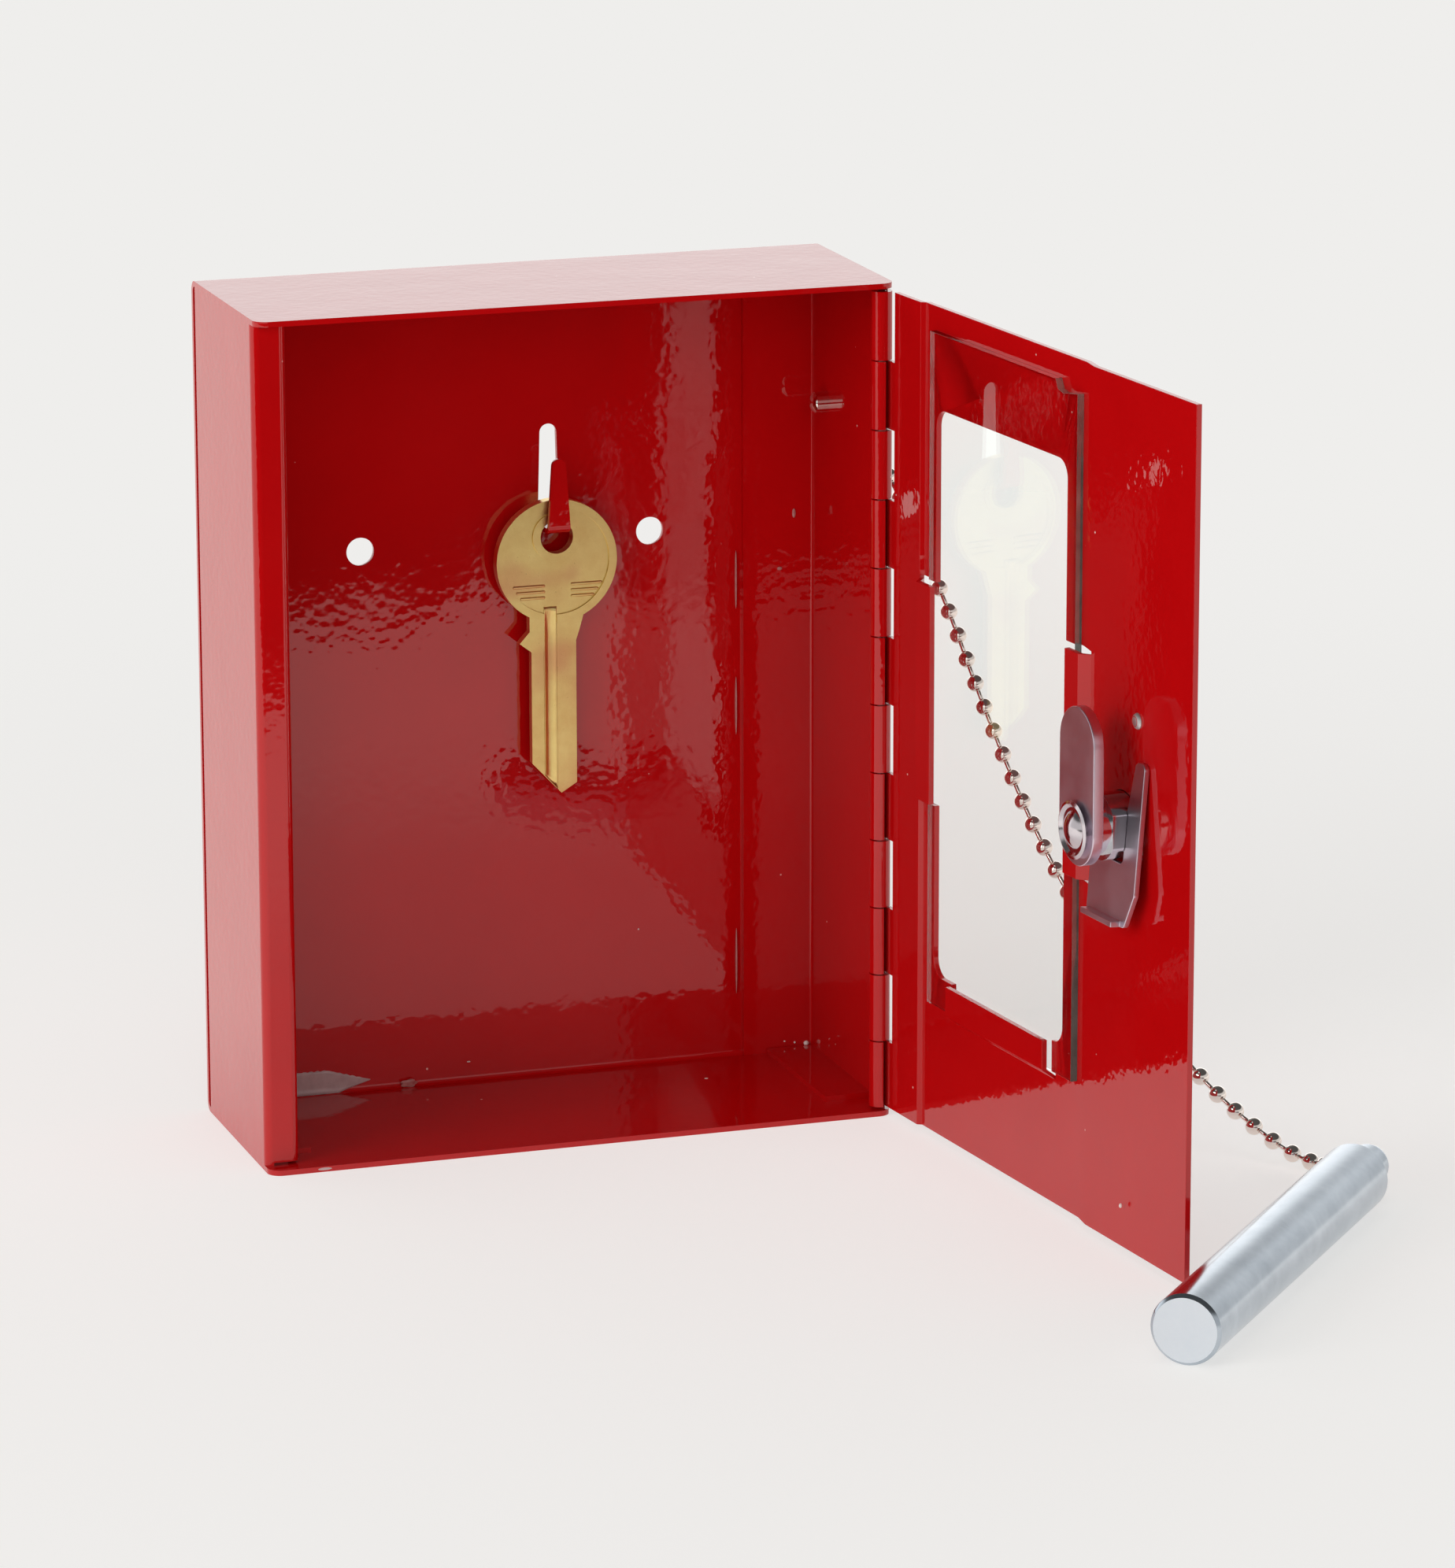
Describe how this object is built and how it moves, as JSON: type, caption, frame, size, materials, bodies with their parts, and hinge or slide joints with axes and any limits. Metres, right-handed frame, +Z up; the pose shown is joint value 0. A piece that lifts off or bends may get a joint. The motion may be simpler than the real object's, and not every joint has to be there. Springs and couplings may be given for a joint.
{
  "type": "break glass key box",
  "caption": "Shallow folded-steel key box with a glazed hinged door, a cam lock, a key on a hook and a breaker bar on a bead chain.",
  "frame": {"origin": "middle of the bottom plate's underside", "axes": "+Z up, +Y towards the wall behind the box, +X to the right seen from the front"},
  "size_m": [0.1835, 0.1976, 0.155],
  "materials": {
    "red_enamel": "gloss red enamel",
    "pane": "clear sheet glass",
    "lock_nickel": "bright nickel plate",
    "lock_zinc": "zinc plated sheet steel",
    "pin_steel": "plain wire",
    "wafer_brass": "stamped brass",
    "key_brass": "dull stamped brass",
    "chain_nickel": "bright nickel plate",
    "bar_steel": "turned and zinc plated"
  },
  "bodies": {
    "case": {"case_shell": "red_enamel", "left_side": "red_enamel", "right_side": "red_enamel", "hinge_pin": "pin_steel", "chain_rivet": "chain_nickel", "chain_eyelet": "chain_nickel", "bead_chain": "chain_nickel", "bar_coupling": "chain_nickel", "breaker_bar": "bar_steel"},
    "door": {"door_panel": "red_enamel", "glass_pane": "pane", "lock_housing": "lock_nickel", "lock_clip": "lock_zinc"},
    "lock": {"lock_plug": "lock_nickel", "lock_wafers": "wafer_brass", "wafer_springs": "pin_steel", "lock_cam": "lock_zinc", "cam_washer": "lock_nickel", "cam_rivet": "lock_nickel"},
    "key": {"key": "key_brass"}
  },
  "joints": [
    {"name": "door_hinge", "type": "hinge", "parent": "case", "child": "door", "pos_m": [0.0571, -0.02015, 0.0775], "axis": [0, 0, 1], "range_deg": [-96.4, 3.6]},
    {"name": "lock_turn", "type": "hinge", "parent": "door", "child": "lock", "pos_m": [0.06735, -0.11158, 0.0765], "axis": [0.9938, 0.1115, 0], "range_deg": [0, 90]},
    {"name": "key_swing", "type": "hinge", "parent": "case", "child": "key", "pos_m": [0.0072, 0.01725, 0.10435], "axis": [0, -1, 0], "range_deg": [-80, 80]}
  ]
}
